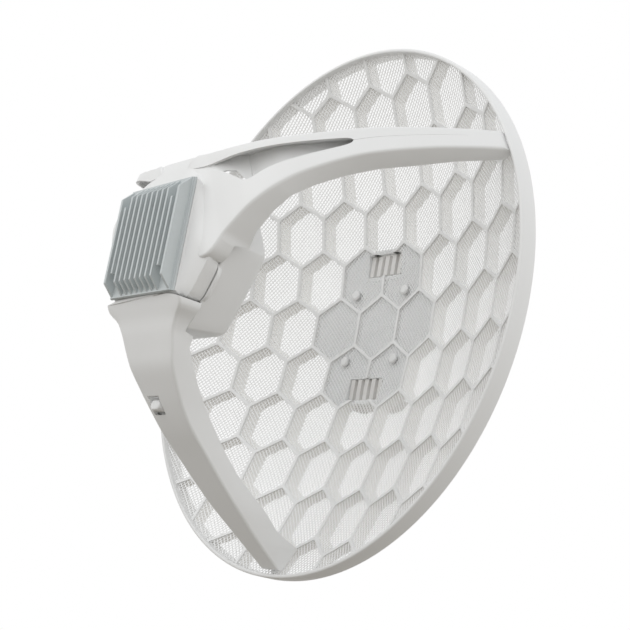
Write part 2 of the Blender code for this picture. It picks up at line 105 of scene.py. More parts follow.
def mount(piece, body, slot, *replaced):
    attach(piece, body)
    if replaced:
        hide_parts(*replaced)
    return piece


def softCopy(node, name, width, material, body, slot, segments=3, angle=32):
    # a merged copy of a CAD node with its edges softened
    mesh = nodes[node].data.copy()
    bm = bmesh.new()
    bm.from_mesh(mesh)
    bmesh.ops.remove_doubles(bm, verts=bm.verts, dist=weldGap)
    bmesh.ops.dissolve_limit(bm, angle_limit=math.radians(1.0), verts=bm.verts, edges=bm.edges)
    bm.to_mesh(mesh)
    bm.free()
    mesh.materials.clear()
    mesh.materials.append(material)
    piece = bpy.data.objects.new(name, mesh)
    bpy.context.scene.collection.objects.link(piece)
    smoothShade(piece)
    softEdges(piece, width, segments, angle)
    return mount(piece, body, slot, node)


def loft(rings, closedEnds=True):
    count = len(rings[0])
    points = [p for ring in rings for p in ring]
    faces = []
    for low in range(0, len(points) - count, count):
        for k in range(count):
            side = (k + 1) % count
            faces.append((low + k, low + side, low + count + side, low + count + k))
    if closedEnds:
        faces += [tuple(range(count)), tuple(range(len(points) - count, len(points)))]
    return points, faces


def prism(outline, low, high):
    return loft([[(x, y, low) for x, y in outline], [(x, y, high) for x, y in outline]])


def block(low, high):
    corners = [(low[0], low[1]), (high[0], low[1]), (high[0], high[1]), (low[0], high[1])]
    return prism(corners, low[2], high[2])


def circle(radius, count, centre=(0, 0)):
    turn = 2 * math.pi / count
    return [(centre[0] + radius * math.cos(k * turn), centre[1] + radius * math.sin(k * turn))
            for k in range(count)]


def curveAt(points, x):
    # smooth value at x through (x, y) points
    last = len(points) - 1
    k = max(0, min(last - 1, sum(1 for p in points if p[0] <= x) - 1))
    low, high = points[k], points[k + 1]
    before, after = points[max(k - 1, 0)], points[min(k + 2, last)]
    span = high[0] - low[0]
    u = (x - low[0]) / span
    riseLow = (high[1] - before[1]) / (high[0] - before[0]) * span
    riseHigh = (after[1] - low[1]) / (after[0] - low[0]) * span
    return ((2 * u ** 3 - 3 * u ** 2 + 1) * low[1] + (u ** 3 - 2 * u ** 2 + u) * riseLow
            + (3 * u ** 2 - 2 * u ** 3) * high[1] + (u ** 3 - u ** 2) * riseHigh)


def lineAt(points, x):
    for low, high in zip(points, points[1:]):
        if x <= high[0]:
            return low[1] + (high[1] - low[1]) * (x - low[0]) / (high[0] - low[0])
    return points[-1][1]


def put(tree, kind, wires=None, **settings):
    # add a node, with its inputs wired or set
    node = tree.nodes.new(kind)
    for key, value in settings.items():
        setattr(node, key, value)
    for key, value in (wires or {}).items():
        if isinstance(value, bpy.types.NodeSocket):
            tree.links.new(value, node.inputs[key])
        else:
            node.inputs[key].default_value = value
    return node


def newTree(name, sizes):
    # Geometry Nodes group with a named input for each size
    tree = bpy.data.node_groups.new(name, "GeometryNodeTree")
    tree.interface.new_socket("Geometry", in_out="OUTPUT", socket_type="NodeSocketGeometry")
    for label, value in sizes.items():
        kind = "NodeSocketInt" if isinstance(value, int) else "NodeSocketFloat"
        tree.interface.new_socket(label, in_out="INPUT", socket_type=kind).default_value = value
    tree.interface.new_socket("Material", in_out="INPUT", socket_type="NodeSocketMaterial")
    return tree


def sums(tree):
    # short way to write arithmetic in a tree
    def work(operation, a, b=0.0):
        return put(tree, "ShaderNodeMath", {0: a, 1: b}, operation=operation).outputs[0]
    return work


def over(tree, a, b):
    return put(tree, "FunctionNodeCompare", {0: a, 1: b}, data_type="FLOAT",
               operation="GREATER_THAN").outputs[0]


def endTree(tree, geometry, inputs, smoothAngle=35):
    # stand it up in the row frame, shade it, give it its material
    placed = put(tree, "GeometryNodeTransform", {
        "Geometry": geometry, "Translation": (0, -millimetre * padDepth, 0),
        "Rotation": (math.pi / 2, 0, 0), "Scale": (millimetre,) * 3}).outputs[0]
    real = put(tree, "GeometryNodeRealizeInstances", {"Geometry": placed}).outputs[0]
    angle = put(tree, "GeometryNodeInputMeshEdgeAngle").outputs[0]
    gentle = over(tree, math.radians(smoothAngle), angle)
    faces = put(tree, "GeometryNodeSetShadeSmooth", {"Geometry": real, "Shade Smooth": True},
                domain="FACE").outputs[0]
    edges = put(tree, "GeometryNodeSetShadeSmooth", {"Geometry": faces, "Shade Smooth": gentle},
                domain="EDGE").outputs[0]
    painted = put(tree, "GeometryNodeSetMaterial", {
        "Geometry": edges, "Material": inputs["Material"]}).outputs[0]
    tree.links.new(painted, put(tree, "NodeGroupOutput").inputs[0])


def runTree(name, tree, material, **sizes):
    # make a mesh piece from a tree, with these sizes
    mesh = bpy.data.meshes.new(name)
    maker = bpy.data.objects.new(name + "Maker", mesh)
    bpy.context.scene.collection.objects.link(maker)
    step = maker.modifiers.new("shape", "NODES")
    step.node_group = tree
    values = {**sizes, "Material": material}
    for item in tree.interface.items_tree:
        label = item.name.replace(" ", "")
        if item.in_out == "INPUT" and label in values:
            step[item.identifier] = values[label]
    bpy.context.view_layer.update()
    graph = bpy.context.evaluated_depsgraph_get()
    result = bpy.data.meshes.new_from_object(maker.evaluated_get(graph))
    maker.modifiers.clear()
    bpy.data.objects.remove(maker, do_unlink=True)
    piece = bpy.data.objects.new(name, result)
    bpy.context.scene.collection.objects.link(piece)
    print(" ", name, len(result.vertices), "points", len(result.polygons), "faces")
    return piece


def liftToDish(tree, geometry, focal, work):
    # raise every point on to the paraboloid
    spot = put(tree, "ShaderNodeSeparateXYZ", {0: put(tree, "GeometryNodeInputPosition").outputs[0]})
    square = work("ADD", work("MULTIPLY", spot.outputs["X"], spot.outputs["X"]),
                  work("MULTIPLY", spot.outputs["Y"], spot.outputs["Y"]))
    rise = work("DIVIDE", square, work("MULTIPLY", focal, 4.0))
    offset = put(tree, "ShaderNodeCombineXYZ", {"Z": rise}).outputs[0]
    return put(tree, "GeometryNodeSetPosition", {"Geometry": geometry, "Offset": offset}).outputs[0]


def newGroup(name, inputs, outputs):
    group = bpy.data.node_groups.new(name, "ShaderNodeTree")
    for label, (kind, value) in inputs.items():
        group.interface.new_socket(label, in_out="INPUT", socket_type=kind).default_value = value
    for label, kind in outputs.items():
        group.interface.new_socket(label, in_out="OUTPUT", socket_type=kind)
    return group


def mouldedFinish():
    # fine moulding grain, slow changes of tone, and a little dust
    group = newGroup("mouldedFinish", {
        "Colour": ("NodeSocketColor", (0.8, 0.8, 0.8, 1)),
        "Shade": ("NodeSocketColor", (0.7, 0.7, 0.68, 1)),
        "Grain Scale": ("NodeSocketFloat", 1800.0),
        "Cloud Scale": ("NodeSocketFloat", 14.0),
        "Base Roughness": ("NodeSocketFloat", 0.5),
        "Roughness Spread": ("NodeSocketFloat", 0.08)},
        {"Colour": "NodeSocketColor", "Roughness": "NodeSocketFloat", "Height": "NodeSocketFloat"})
    ends = put(group, "NodeGroupInput").outputs
    place = put(group, "ShaderNodeTexCoord").outputs["Object"]
    cloud = put(group, "ShaderNodeTexNoise", {
        "Vector": place, "Scale": ends["Cloud Scale"], "Detail": 4.0, "Roughness": 0.55}).outputs[0]
    grain = put(group, "ShaderNodeTexNoise", {
        "Vector": place, "Scale": ends["Grain Scale"], "Detail": 2.0, "Roughness": 0.6}).outputs[0]
    share = put(group, "ShaderNodeMapRange", {
        "Value": cloud, "From Min": 0.35, "From Max": 0.7, "To Min": 0.0, "To Max": 1.0}).outputs[0]
    tone = put(group, "ShaderNodeMix", {0: share, 6: ends["Colour"], 7: ends["Shade"]},
               data_type="RGBA").outputs[2]
    work = sums(group)
    rough = work("ADD", ends["Base Roughness"],
                 work("MULTIPLY", work("SUBTRACT", grain, 0.5), ends["Roughness Spread"]))
    leave = put(group, "NodeGroupOutput")
    group.links.new(tone, leave.inputs["Colour"])
    group.links.new(rough, leave.inputs["Roughness"])
    group.links.new(grain, leave.inputs["Height"])
    return group


def finishMaterial(name, colour, shade, roughness, spread=0.08, metallic=0.0, grainScale=1800.0,
                   cloudScale=14.0, bump=0.15):
    mat = bpy.data.materials.new(name)
    mat.use_nodes = True
    tree = mat.node_tree
    shader = tree.nodes["Principled BSDF"]
    look = put(tree, "ShaderNodeGroup", node_tree=finishGroup)
    look.inputs["Colour"].default_value = (*colour, 1)
    look.inputs["Shade"].default_value = (*shade, 1)
    look.inputs["Grain Scale"].default_value = grainScale
    look.inputs["Cloud Scale"].default_value = cloudScale
    look.inputs["Base Roughness"].default_value = roughness
    look.inputs["Roughness Spread"].default_value = spread
    lift = put(tree, "ShaderNodeBump", {
        "Height": look.outputs["Height"], "Strength": bump, "Distance": 0.0001})
    tree.links.new(look.outputs["Colour"], shader.inputs["Base Color"])
    tree.links.new(look.outputs["Roughness"], shader.inputs["Roughness"])
    tree.links.new(lift.outputs[0], shader.inputs["Normal"])
    shader.inputs["Metallic"].default_value = metallic
    mat.diffuse_color = (*colour, 1)
    return mat


finishGroup = mouldedFinish()
plastic = finishMaterial("whitePlastic", (0.82, 0.82, 0.815), (0.80, 0.80, 0.793), 0.4)
# the rib plastic is the frame's white plastic made lighter: painted light for the rib walls, which lose light
# deep inside the bowl
litRibPlastic = finishMaterial("litRibPlastic", (0.87, 0.86, 0.84), (0.85, 0.84, 0.815), 0.5)
saddlePlastic = finishMaterial("saddlePlastic", (0.72, 0.71, 0.69), (0.68, 0.67, 0.65), 0.55)
meshPaint = finishMaterial("sheetPaint", (0.91, 0.91, 0.905), (0.86, 0.86, 0.86), 0.45)
castMetal = finishMaterial("castAluminium", (0.60, 0.635, 0.64), (0.56, 0.595, 0.60), 0.5, 0.14,
                           metallic=0.2, grainScale=1200.0, bump=0.25)
# the plate plastic is the frame's white plastic made lighter: painted light that cancels the sheet's shadow
# on the middle plate
litPlatePlastic = finishMaterial("litPlatePlastic", (0.88, 0.885, 0.885), (0.84, 0.85, 0.85), 0.5,
                              cloudScale=9.0)
boardGreen = finishMaterial("boardGreen", (0.03, 0.19, 0.08), (0.02, 0.14, 0.06), 0.35)
canSteel = finishMaterial("canSteel", (0.62, 0.63, 0.65), (0.55, 0.56, 0.58), 0.28, 0.2, metallic=1.0)
patchCopper = finishMaterial("patchCopper", (0.72, 0.50, 0.28), (0.62, 0.42, 0.24), 0.3, metallic=1.0)
padSoft = finishMaterial("padSilicone", (0.30, 0.40, 0.55), (0.26, 0.36, 0.5), 0.8)
blackPlastic = finishMaterial("blackPlastic", (0.035, 0.035, 0.037), (0.05, 0.05, 0.05), 0.5)
print("materials made")


# The dish is honeycomb ribs behind the mesh, thin ridges over it, a rim and a closed middle plate.
dish = {"focal": 165.3, "trim": 194.3, "cellSide": 25.15,
        "ribWidth": 2.6, "ribFront": -0.7, "ribBack": -11.0, "ribCorner": 3.2, "edgeLift": 1.1,
        "ridgeWidth": 2.3, "ridgeFront": 1.1, "ridgeBack": -1.2, "ridgeCorner": 2.2,
        "plateBack": -3.9, "plateFront": -1.3, "plateEdge": 12.0}
rim = {"out": 195.5, "wall": 2.8, "front": 60.4, "back": 47.5, "steps": 256}
window = {"halfX": 18.3, "halfY": 8.5, "height": 48.0, "frame": 3.0, "frameBack": -3.7, "frameFront": -0.9}
studs = {"x": 27.0, "y": 26.0, "hole": 2.6}
saddleRoom = {"corner": [(35, 44.5), (30.3, 57.6), (16.5, 63)], "back": -30, "front": -4.2}


def dishHeight(radius):
    return radius ** 2 / (4 * dish["focal"])


def windowBlocks(low, high, grow=0.0):
    # the two windows of the middle plate, above and below the beam
    halfX, halfY = window["halfX"] + grow, window["halfY"] + grow
    return [block((-halfX, up - halfY, low), (halfX, up + halfY, high))
            for up in (-window["height"], window["height"])]


def saddleBlock():
    # room for the mast saddle in the back of the ribs
    upper = saddleRoom["corner"] + [(-x, y) for x, y in reversed(saddleRoom["corner"])]
    return prism(upper + [(-x, -y) for x, y in upper], saddleRoom["back"], saddleRoom["front"])


def ribTree():
    tree = newTree("honeycombRibs", {
        "Cell Side": dish["cellSide"], "Rib Width": dish["ribWidth"], "Corner Radius": dish["ribCorner"],
        "Front": dish["ribFront"], "Back": dish["ribBack"], "Trim Radius": dish["trim"],
        "Focal Length": dish["focal"], "Edge Lift": dish["edgeLift"]})
    inputs = put(tree, "NodeGroupInput").outputs
    work = sums(tree)
    side = inputs["Cell Side"]
    across = work("MULTIPLY", side, math.sqrt(3))
    rise = work("MULTIPLY", side, 1.5)
    grid = put(tree, "GeometryNodeMeshGrid", {
        "Size X": work("MULTIPLY", across, 12), "Size Y": work("MULTIPLY", rise, 12),
        "Vertices X": 13, "Vertices Y": 13}).outputs["Mesh"]
    place = put(tree, "GeometryNodeInputPosition").outputs[0]
    spot = put(tree, "ShaderNodeSeparateXYZ", {0: place})
    row = work("ROUND", work("DIVIDE", spot.outputs["Y"], rise))
    odd = work("ABSOLUTE", work("MODULO", row, 2.0))
    shift = work("MULTIPLY", odd, work("MULTIPLY", across, 0.5))
    offset = put(tree, "ShaderNodeCombineXYZ", {"X": shift}).outputs[0]
    centres = put(tree, "GeometryNodeSetPosition", {"Geometry": grid, "Offset": offset}).outputs[0]
    reach = put(tree, "ShaderNodeVectorMath", {0: place}, operation="LENGTH").outputs["Value"]
    far = over(tree, reach, work("ADD", inputs["Trim Radius"], side))
    near = put(tree, "GeometryNodeDeleteGeometry", {"Geometry": centres, "Selection": far},
               domain="POINT").outputs[0]

    def hexagon(radius):
        ring = put(tree, "GeometryNodeCurvePrimitiveCircle", {"Resolution": 6, "Radius": radius},
                   mode="RADIUS").outputs["Curve"]
        return put(tree, "GeometryNodeTransform", {
            "Geometry": ring, "Rotation": (0, 0, math.pi / 2)}).outputs[0]

    hole = hexagon(work("SUBTRACT", side, work("DIVIDE", inputs["Rib Width"], math.sqrt(3))))
    hole = put(tree, "GeometryNodeFilletCurve", {
        "Curve": hole, "Count": 5, "Radius": inputs["Corner Radius"]}, mode="POLY").outputs[0]
    both = put(tree, "GeometryNodeJoinGeometry")
    for curve in (hexagon(side), hole):
        tree.links.new(curve, both.inputs[0])
    flat = put(tree, "GeometryNodeFillCurve", {"Curve": both.outputs[0]}, mode="TRIANGLES").outputs[0]
    many = put(tree, "GeometryNodeInstanceOnPoints", {"Points": near, "Instance": flat}).outputs[0]
    real = put(tree, "GeometryNodeRealizeInstances", {"Geometry": many}).outputs[0]
    whole = put(tree, "GeometryNodeMergeByDistance", {"Geometry": real, "Distance": 0.05}).outputs[0]
    drop = put(tree, "ShaderNodeCombineXYZ", {"Z": inputs["Back"]}).outputs[0]
    low = put(tree, "GeometryNodeSetPosition", {"Geometry": whole, "Offset": drop}).outputs[0]
    tall = put(tree, "GeometryNodeExtrudeMesh", {
        "Mesh": low, "Offset": (0, 0, 1), "Offset Scale": work("SUBTRACT", inputs["Front"], inputs["Back"]),
        "Individual": False}, mode="FACES").outputs[0]
    floor = put(tree, "GeometryNodeFlipFaces", {"Mesh": low}).outputs[0]
    shell = put(tree, "GeometryNodeJoinGeometry")
    for part in (tall, floor):
        tree.links.new(part, shell.inputs[0])
    closed = put(tree, "GeometryNodeMergeByDistance", {
        "Geometry": shell.outputs[0], "Distance": 0.01}).outputs[0]
    drum = put(tree, "GeometryNodeMeshCylinder", {
        "Vertices": 192, "Radius": inputs["Trim Radius"], "Depth": 60.0}).outputs["Mesh"]
    trim = put(tree, "GeometryNodeMeshBoolean", operation="INTERSECT", solver="EXACT")
    for part in (closed, drum):
        tree.links.new(part, trim.inputs["Mesh 2"])
    # the ribs get a little shallower towards the rim
    deep = over(tree, -5.0, spot.outputs["Z"])
    out = work("POWER", work("DIVIDE", reach, inputs["Trim Radius"]), 6.0)
    lift = work("MULTIPLY", work("MULTIPLY", out, inputs["Edge Lift"]), deep)
    raised = put(tree, "GeometryNodeSetPosition", {
        "Geometry": trim.outputs[0],
        "Offset": put(tree, "ShaderNodeCombineXYZ", {"Z": lift}).outputs[0]}).outputs[0]
    bowl = liftToDish(tree, raised, inputs["Focal Length"], work)
    endTree(tree, bowl, inputs)
    return tree


ribs = ribTree()
# the ribs take the lighter rib plastic, painted light for their shaded walls inside the bowl
ribPiece = runTree("dishRibs", ribs, litRibPlastic)
carve(ribPiece, windowBlocks(-14, 14) + [saddleBlock()])
softEdges(ribPiece, 0.35, 2, 50)
mount(ribPiece, "antenna", "white_plastic", "dish_frame")
ridgePiece = runTree("ribRidges", ribs, plastic, RibWidth=dish["ridgeWidth"],
                     CornerRadius=dish["ridgeCorner"], Front=dish["ridgeFront"], Back=dish["ridgeBack"],
                     EdgeLift=0.0)
carve(ridgePiece, windowBlocks(-14, 14))
softEdges(ridgePiece, 0.5, 2, 50)
mount(ridgePiece, "antenna", "white_plastic", "dish_frame")


def rimRing():
    # band turned round the beam, with soft edges in its profile
    out, front, back, count = rim["out"], rim["front"], rim["back"], rim["steps"]
    inner = out - rim["wall"]
    profile = [(inner + 0.2, back - 0.6), (inner + 0.7, back - 1.0), (out - 0.6, back - 0.1),
               (out - 0.1, back + 0.3), (out, back + 1.0), (out, front - 1.2), (out - 0.25, front - 0.45),
               (out - 0.8, front - 0.05), (out - 1.5, front), (inner + 0.5, front - 0.1),
               (inner + 0.1, front - 0.5), (inner, front - 1.2), (inner, back + 0.2)]
    rings = []
    for k in range(count):
        angle = 2 * math.pi * k / count
        rings.append([(r * math.cos(angle), r * math.sin(angle), z) for r, z in profile])
    points, faces = loft(rings, closedEnds=False)
    size = len(profile)
    last = (count - 1) * size
    faces += [(last + j, last + (j + 1) % size, (j + 1) % size, j) for j in range(size)]
    return mount(newPiece("dishRim", points, faces, plastic, 50), "antenna", "white_plastic", "dish_frame")


def cellCorners(centre, radius):
    return [(centre[0] + radius * math.sin(math.radians(60 * k)),
             centre[1] + radius * math.cos(math.radians(60 * k))) for k in range(6)]


def middlePlate():
    # the seven cells round the middle are closed behind the mesh
    side = dish["cellSide"]
    across = math.sqrt(3) * side
    centres = [(0, 0)] + [(across * math.cos(math.radians(60 * k)), across * math.sin(math.radians(60 * k)))
                          for k in range(6)]
    bm = bmesh.new()
    for centre in centres:
        bm.faces.new([bm.verts.new((x, y, dish["plateBack"])) for x, y in cellCorners(centre, side)])
    bmesh.ops.remove_doubles(bm, verts=bm.verts, dist=0.05)
    for face in bmesh.ops.extrude_face_region(bm, geom=bm.faces[:])["geom"]:
        if isinstance(face, bmesh.types.BMVert):
            face.co.z = dish["plateFront"]
    bm.verts.index_update()
    # the plate takes the lighter plate plastic, painted light against the perforated sheet's shadow
    plate = newPiece("middlePlate", [tuple(v.co) for v in bm.verts],
                     [tuple(v.index for v in f.verts) for f in bm.faces], litPlatePlastic)
    bm.free()
    holes = windowBlocks(-9, 9)
    for x in (-studs["x"], studs["x"]):
        for y in (-studs["y"], studs["y"]):
            holes.append(prism(circle(studs["hole"], 24, (x, y)), -9, 9))
    carve(plate, windowBlocks(window["frameBack"], window["frameFront"], window["frame"]), "UNION")
    carve(plate, holes)
    # split it finely enough to follow the bowl
    bm = bmesh.new()
    bm.from_mesh(plate.data)
    bmesh.ops.triangulate(bm, faces=bm.faces)
    long = [e for e in bm.edges if e.calc_length() > dish["plateEdge"] * millimetre]
    bmesh.ops.subdivide_edges(bm, edges=long, cuts=2)
    bmesh.ops.triangulate(bm, faces=bm.faces)
    for vert in bm.verts:
        reach = math.hypot(vert.co.x, vert.co.z) / millimetre
        vert.co.y -= dishHeight(reach) * millimetre
    bm.to_mesh(plate.data)
    bm.free()
    smoothShade(plate, 30)
    return mount(plate, "antenna", "white_plastic", "dish_frame")


rimRing()
middlePlate()
print("dish ribs, rim and plate made")


# The reflector is a perforated sheet with square holes, made in three sectors.
sheet = {"pitch": 2.42, "hole": 0.80, "thickness": 0.5, "radius": 193.6, "across": 162,
         "windowGap": 0.3, "studGap": 0.2, "sectors": 3}


def sheetTree():
    tree = newTree("perforatedSheet", {
        "Pitch": sheet["pitch"], "Hole Share": sheet["hole"], "Sheet Thickness": sheet["thickness"],
        "Sheet Radius": sheet["radius"], "Focal Length": dish["focal"],
        "Window Half Width": window["halfX"] + sheet["windowGap"],
        "Window Half Height": window["halfY"] + sheet["windowGap"], "Window Height": window["height"],
        "Stud X": studs["x"], "Stud Y": studs["y"], "Stud Hole": studs["hole"] + sheet["studGap"],
        "Sector": 0.0})
    inputs = put(tree, "NodeGroupInput").outputs
    work = sums(tree)
    across = sheet["across"]
    size = work("MULTIPLY", inputs["Pitch"], float(across - 1))
    grid = put(tree, "GeometryNodeMeshGrid", {
        "Size X": size, "Size Y": size, "Vertices X": across, "Vertices Y": across}).outputs["Mesh"]
    turned = put(tree, "GeometryNodeTransform", {
        "Geometry": grid, "Rotation": (0, 0, math.pi / 4)}).outputs[0]
    place = put(tree, "GeometryNodeInputPosition").outputs[0]
    spot = put(tree, "ShaderNodeSeparateXYZ", {0: place})
    x, y = spot.outputs["X"], spot.outputs["Y"]
    reach = put(tree, "ShaderNodeVectorMath", {0: place}, operation="LENGTH").outputs["Value"]
    # leave out what lies past the rim, in the windows, round the studs or in another sector
    tooFar = over(tree, reach, inputs["Sheet Radius"])
    inWidth = over(tree, inputs["Window Half Width"], work("ABSOLUTE", x))
    fromWindow = work("ABSOLUTE", work("SUBTRACT", work("ABSOLUTE", y), inputs["Window Height"]))
    inHeight = over(tree, inputs["Window Half Height"], fromWindow)
    sideways = work("SUBTRACT", work("ABSOLUTE", x), inputs["Stud X"])
    upwards = work("SUBTRACT", work("ABSOLUTE", y), inputs["Stud Y"])
    fromStud = work("SQRT", work("ADD", work("MULTIPLY", sideways, sideways),
                                 work("MULTIPLY", upwards, upwards)))
    onStud = over(tree, inputs["Stud Hole"], fromStud)
    angle = work("DIVIDE", work("ADD", work("ARCTAN2", y, x), math.pi), 2 * math.pi / sheet["sectors"])
    sector = work("MINIMUM", work("FLOOR", angle), sheet["sectors"] - 1.0)
    elsewhere = over(tree, work("ABSOLUTE", work("SUBTRACT", sector, inputs["Sector"])), 0.5)
    hidden = work("MAXIMUM", work("MAXIMUM", tooFar, work("MULTIPLY", inWidth, inHeight)),
                  work("MAXIMUM", onStud, elsewhere))
    kept = put(tree, "GeometryNodeDeleteGeometry", {
        "Geometry": turned, "Selection": over(tree, hidden, 0.5)}, domain="FACE").outputs[0]
    inset = put(tree, "GeometryNodeExtrudeMesh", {
        "Mesh": kept, "Offset Scale": 0.0, "Individual": True}, mode="FACES")
    shrunk = put(tree, "GeometryNodeScaleElements", {
        "Geometry": inset.outputs["Mesh"], "Selection": inset.outputs["Top"],
        "Scale": inputs["Hole Share"]}, domain="FACE").outputs[0]
    wires = put(tree, "GeometryNodeDeleteGeometry", {
        "Geometry": shrunk, "Selection": inset.outputs["Top"]}, domain="FACE",
        mode="ALL").outputs[0]
    drop = put(tree, "ShaderNodeCombineXYZ", {
        "Z": work("MULTIPLY", inputs["Sheet Thickness"], -0.5)}).outputs[0]
    low = put(tree, "GeometryNodeSetPosition", {"Geometry": wires, "Offset": drop}).outputs[0]
    tall = put(tree, "GeometryNodeExtrudeMesh", {
        "Mesh": low, "Offset": (0, 0, 1), "Offset Scale": inputs["Sheet Thickness"],
        "Individual": False}, mode="FACES").outputs[0]
    shell = put(tree, "GeometryNodeJoinGeometry")
    for part in (tall, put(tree, "GeometryNodeFlipFaces", {"Mesh": low}).outputs[0]):
        tree.links.new(part, shell.inputs[0])
    closed = put(tree, "GeometryNodeMergeByDistance", {
        "Geometry": shell.outputs[0], "Distance": 0.01}).outputs[0]
    endTree(tree, liftToDish(tree, closed, inputs["Focal Length"], work), inputs)
    return tree


sheetShape = sheetTree()
for sector in range(sheet["sectors"]):
    panel = runTree(f"reflectorSheet{sector + 1}", sheetShape, meshPaint, Sector=float(sector))
    mount(panel, "antenna", "mesh_metal", "reflector_mesh")
print("reflector sheet made")


# Each arm is a channel that is open towards the dish. Its skin is (r, z, half width) along the arm, its
# edge is (r, z), and r runs out from the beam. Outlines on the skin are (r, across).
arms = {
    "wall": 2.2, "corner": 1.9, "step": 3.0, "bends": 7, "strips": 12, "shelf": 2.0, "sharp": 40,
    "root": [(38, 197.4, 37.0), (42, 197.6, 40.2), (46, 197.0, 41.4), (50, 196.1, 41.2),
             (54, 195.1, 39.4), (58, 194.1, 37.4), (64, 192.9, 34.9)],
    "upper": [(58, 193.0, 37.4), (70, 191.6, 32.4), (82, 188.5, 27.6), (98, 181.6, 22.4),
              (115, 170.2, 17.6), (135, 152.3, 13.4), (150, 136.0, 11.4), (170, 105.7, 9.5),
              (185, 78.2, 8.5), (191.8, 64.0, 8.0)],
    "upperEdge": [(38, 183.6), (57.4, 183.6), (58.8, 173.0), (70, 175.0), (85, 173.0), (100, 168.0),
                  (112, 158.0), (126, 143.5), (140, 126.0), (151, 108.5), (168, 84.0), (183, 58.0),
                  (187, 55.0), (191.8, 57.0)],
    "lower": [(36.2, 201.6, 44.2), (42, 199.4, 43.4), (50, 195.9, 36.0), (58, 193.4, 31.5),
              (68, 189.6, 29.0), (79, 185.0, 26.0), (91, 176.6, 23.0), (102, 168.0, 20.5),
              (115, 156.0, 18.8), (128, 141.0, 17.6), (142, 124.5, 16.2), (156, 107.0, 14.6),
              (171, 86.5, 11.6), (189.5, 60.0, 9.4)],
    "lowerEdge": [(36.2, 183.6), (57.4, 183.6), (58.8, 176.5), (66, 176.5), (75, 170.0), (85, 162.5),
                  (98, 151.0), (111, 138.0), (123, 126.0), (134, 113.5), (143, 100.0), (154, 82.5),
                  (164, 69.5), (169, 58.0), (173, 47.0), (189.5, 55.6)],
    "slot": [(40.5, 35.2), (47, 31.3), (54, 28.0), (60, 26.2), (68, 24.0), (78, 21.4), (92, 17.1),
             (117, 10.2), (132, 6.4), (139, 4.8), (141.5, 2.2), (139, -0.7), (128, -1.4), (115, -1.7),
             (98, -1.8), (88, -4.0), (81.5, -3.5), (77, 2.2), (68.6, 13.0), (60, 21.8), (53, 27.0),
             (47, 30.7)],
    "lean": [(41.5, 0), (50, 2.5), (60, 4.6), (110, 3.6), (150, 1.0), (191.8, 0)],
    "web": (76, 150, 3.7, 1.8), "rootCurve": 3.4, "rootReach": 14,
    "latchAt": (101.0, -9.0), "latchHole": (5.4, 6.6), "latchCut": (158.5, 190)}
trough = {"thick": 1.4,
          "shape": [(45, 22, 38.5, 194.6), (50, 21, 39.2, 193.8), (55, 20, 38.0, 192.4),
                    (60, 19, 35.0, 189.8), (65, 19, 33.0, 186.0), (70, 17, 31.0, 181.4),
                    (74, 8, 29.5, 178.0), (77.5, -26, 28.0, 175.6)]}
groove = {"start": 140, "step": 3, "count": 15, "across": 2.0, "half": 0.55, "taper": 0.025, "deep": 0.9}


def armPoints(angle, points):
    # turn (r, across, z) points to the arm's direction on the dish
    turn = math.radians(angle)
    return [(r * math.cos(turn) - t * math.sin(turn), r * math.sin(turn) + t * math.cos(turn), z)
            for r, t, z in points]


def armSection(r, skin, half, edge):
    # outline of the channel at r: round corners outside, a plain skin and two walls inside
    slope = curveAt(skin, r + 0.5) - curveAt(skin, max(r - 0.5, skin[0][0]))
    stretch = math.hypot(1, slope)
    wall, shelf, bends, strips = arms["wall"], arms["shelf"], arms["bends"], arms["strips"]
    top = curveAt(skin, r)
    innerTop = max(top - wall * stretch, edge + 0.8)
    corner = min(arms["corner"], (top - edge) * 0.3 / stretch + 1)
    fall = min(corner * stretch, (top - edge) * 0.6)
    inner = half - wall
    right = [(half - 0.5, edge), (half - 0.1, edge + 0.15), (half, edge + 0.6)]
    for k in range(bends + 1):
        bend = math.radians(90 * k / bends)
        right.append((half - corner * (1 - math.cos(bend)), top - fall * (1 - math.sin(bend))))
    under = [(inner - shelf, innerTop), (inner, max(innerTop - shelf * stretch, edge + 0.7)),
             (inner, edge + 0.4), (inner + 0.3, edge)]
    across = [1 - 2 * k / strips for k in range(1, strips)]
    outer = right + [(k * (half - corner), top) for k in across] + [(-y, z) for y, z in reversed(right)]
    inside = [(k * (inner - shelf), innerTop) for k in reversed(across)]
    return [(r, y, z) for y, z in outer + [(-y, z) for y, z in reversed(under)] + inside + under]


def armShell(name, angle, table, edge, rootCurve=0.0, leanSide=0):
    # rootCurve rounds the inner end, and the wall on leanSide leans in towards the skin
    skin = [(r, z) for r, z, _ in table]
    width = [(r, w) for r, _, w in table]
    start, end = table[0][0], table[-1][0]
    places = {p[0] for p in edge} | {end}
    r = start
    while r < end:
        places.add(r)
        r += arms["step"]
    places = sorted(places)
    places = places[:1] + [p for before, p in zip(places, places[1:]) if p - before > 0.3]
    rings = []
    for r in places:
        half = curveAt(width, r)
        draw = rootCurve * max(0.0, 1 - (r - start) / arms["rootReach"])
        low, top = lineAt(edge, r), curveAt(skin, r)
        lean = lineAt(arms["lean"], r) / half
        ring = []
        for x, t, z in armSection(r, skin, half, low):
            x += draw * abs(t / half) ** 4
            if t * leanSide > 0:
                t *= 1 - lean * (z - low) / (top - low)
            ring.append((x, t, z))
        rings.append(armPoints(angle, ring))
    points, faces = loft(rings)
    return newPiece(name, points, faces, plastic, arms["sharp"])


def smoothOutline(points, rounds=3):
    # cut the corners of a closed outline until it is a smooth curve
    for _ in range(rounds):
        finer = []
        for (x0, y0), (x1, y1) in zip(points, points[1:] + points[:1]):
            finer += [(x0 * 0.75 + x1 * 0.25, y0 * 0.75 + y1 * 0.25),
                      (x0 * 0.25 + x1 * 0.75, y0 * 0.25 + y1 * 0.75)]
        points = finer
    return points


